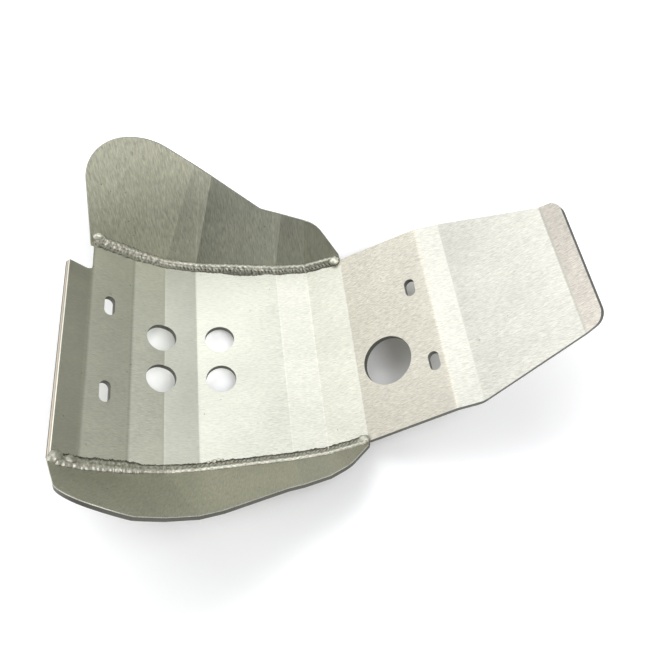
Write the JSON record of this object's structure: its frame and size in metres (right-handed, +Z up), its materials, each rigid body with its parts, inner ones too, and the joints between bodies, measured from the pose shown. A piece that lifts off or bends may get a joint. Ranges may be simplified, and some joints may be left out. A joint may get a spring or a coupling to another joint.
{
  "type": "motorcycle skid plate",
  "caption": "Folded aluminium motorcycle skid plate with upright side wings, welded joints, mud drain holes, a plug access hole and slotted bolt holes.",
  "frame": {"origin": "middle of the keel strip at its underside, which the plate rests on", "axes": "+X from the upturned front lip to the tail, +Y across towards the wing that ends at the lip's bend, +Z up into the hollow side"},
  "size_m": [0.416, 0.3267, 0.1389],
  "materials": {
    "plate": "brushed",
    "wing": "brushed",
    "weld": "rough as welded"
  },
  "bodies": {
    "root": {"main_plate": "plate", "far_wing": "wing", "near_wing": "wing", "far_weld": "weld", "near_weld": "weld"}
  },
  "joints": []
}
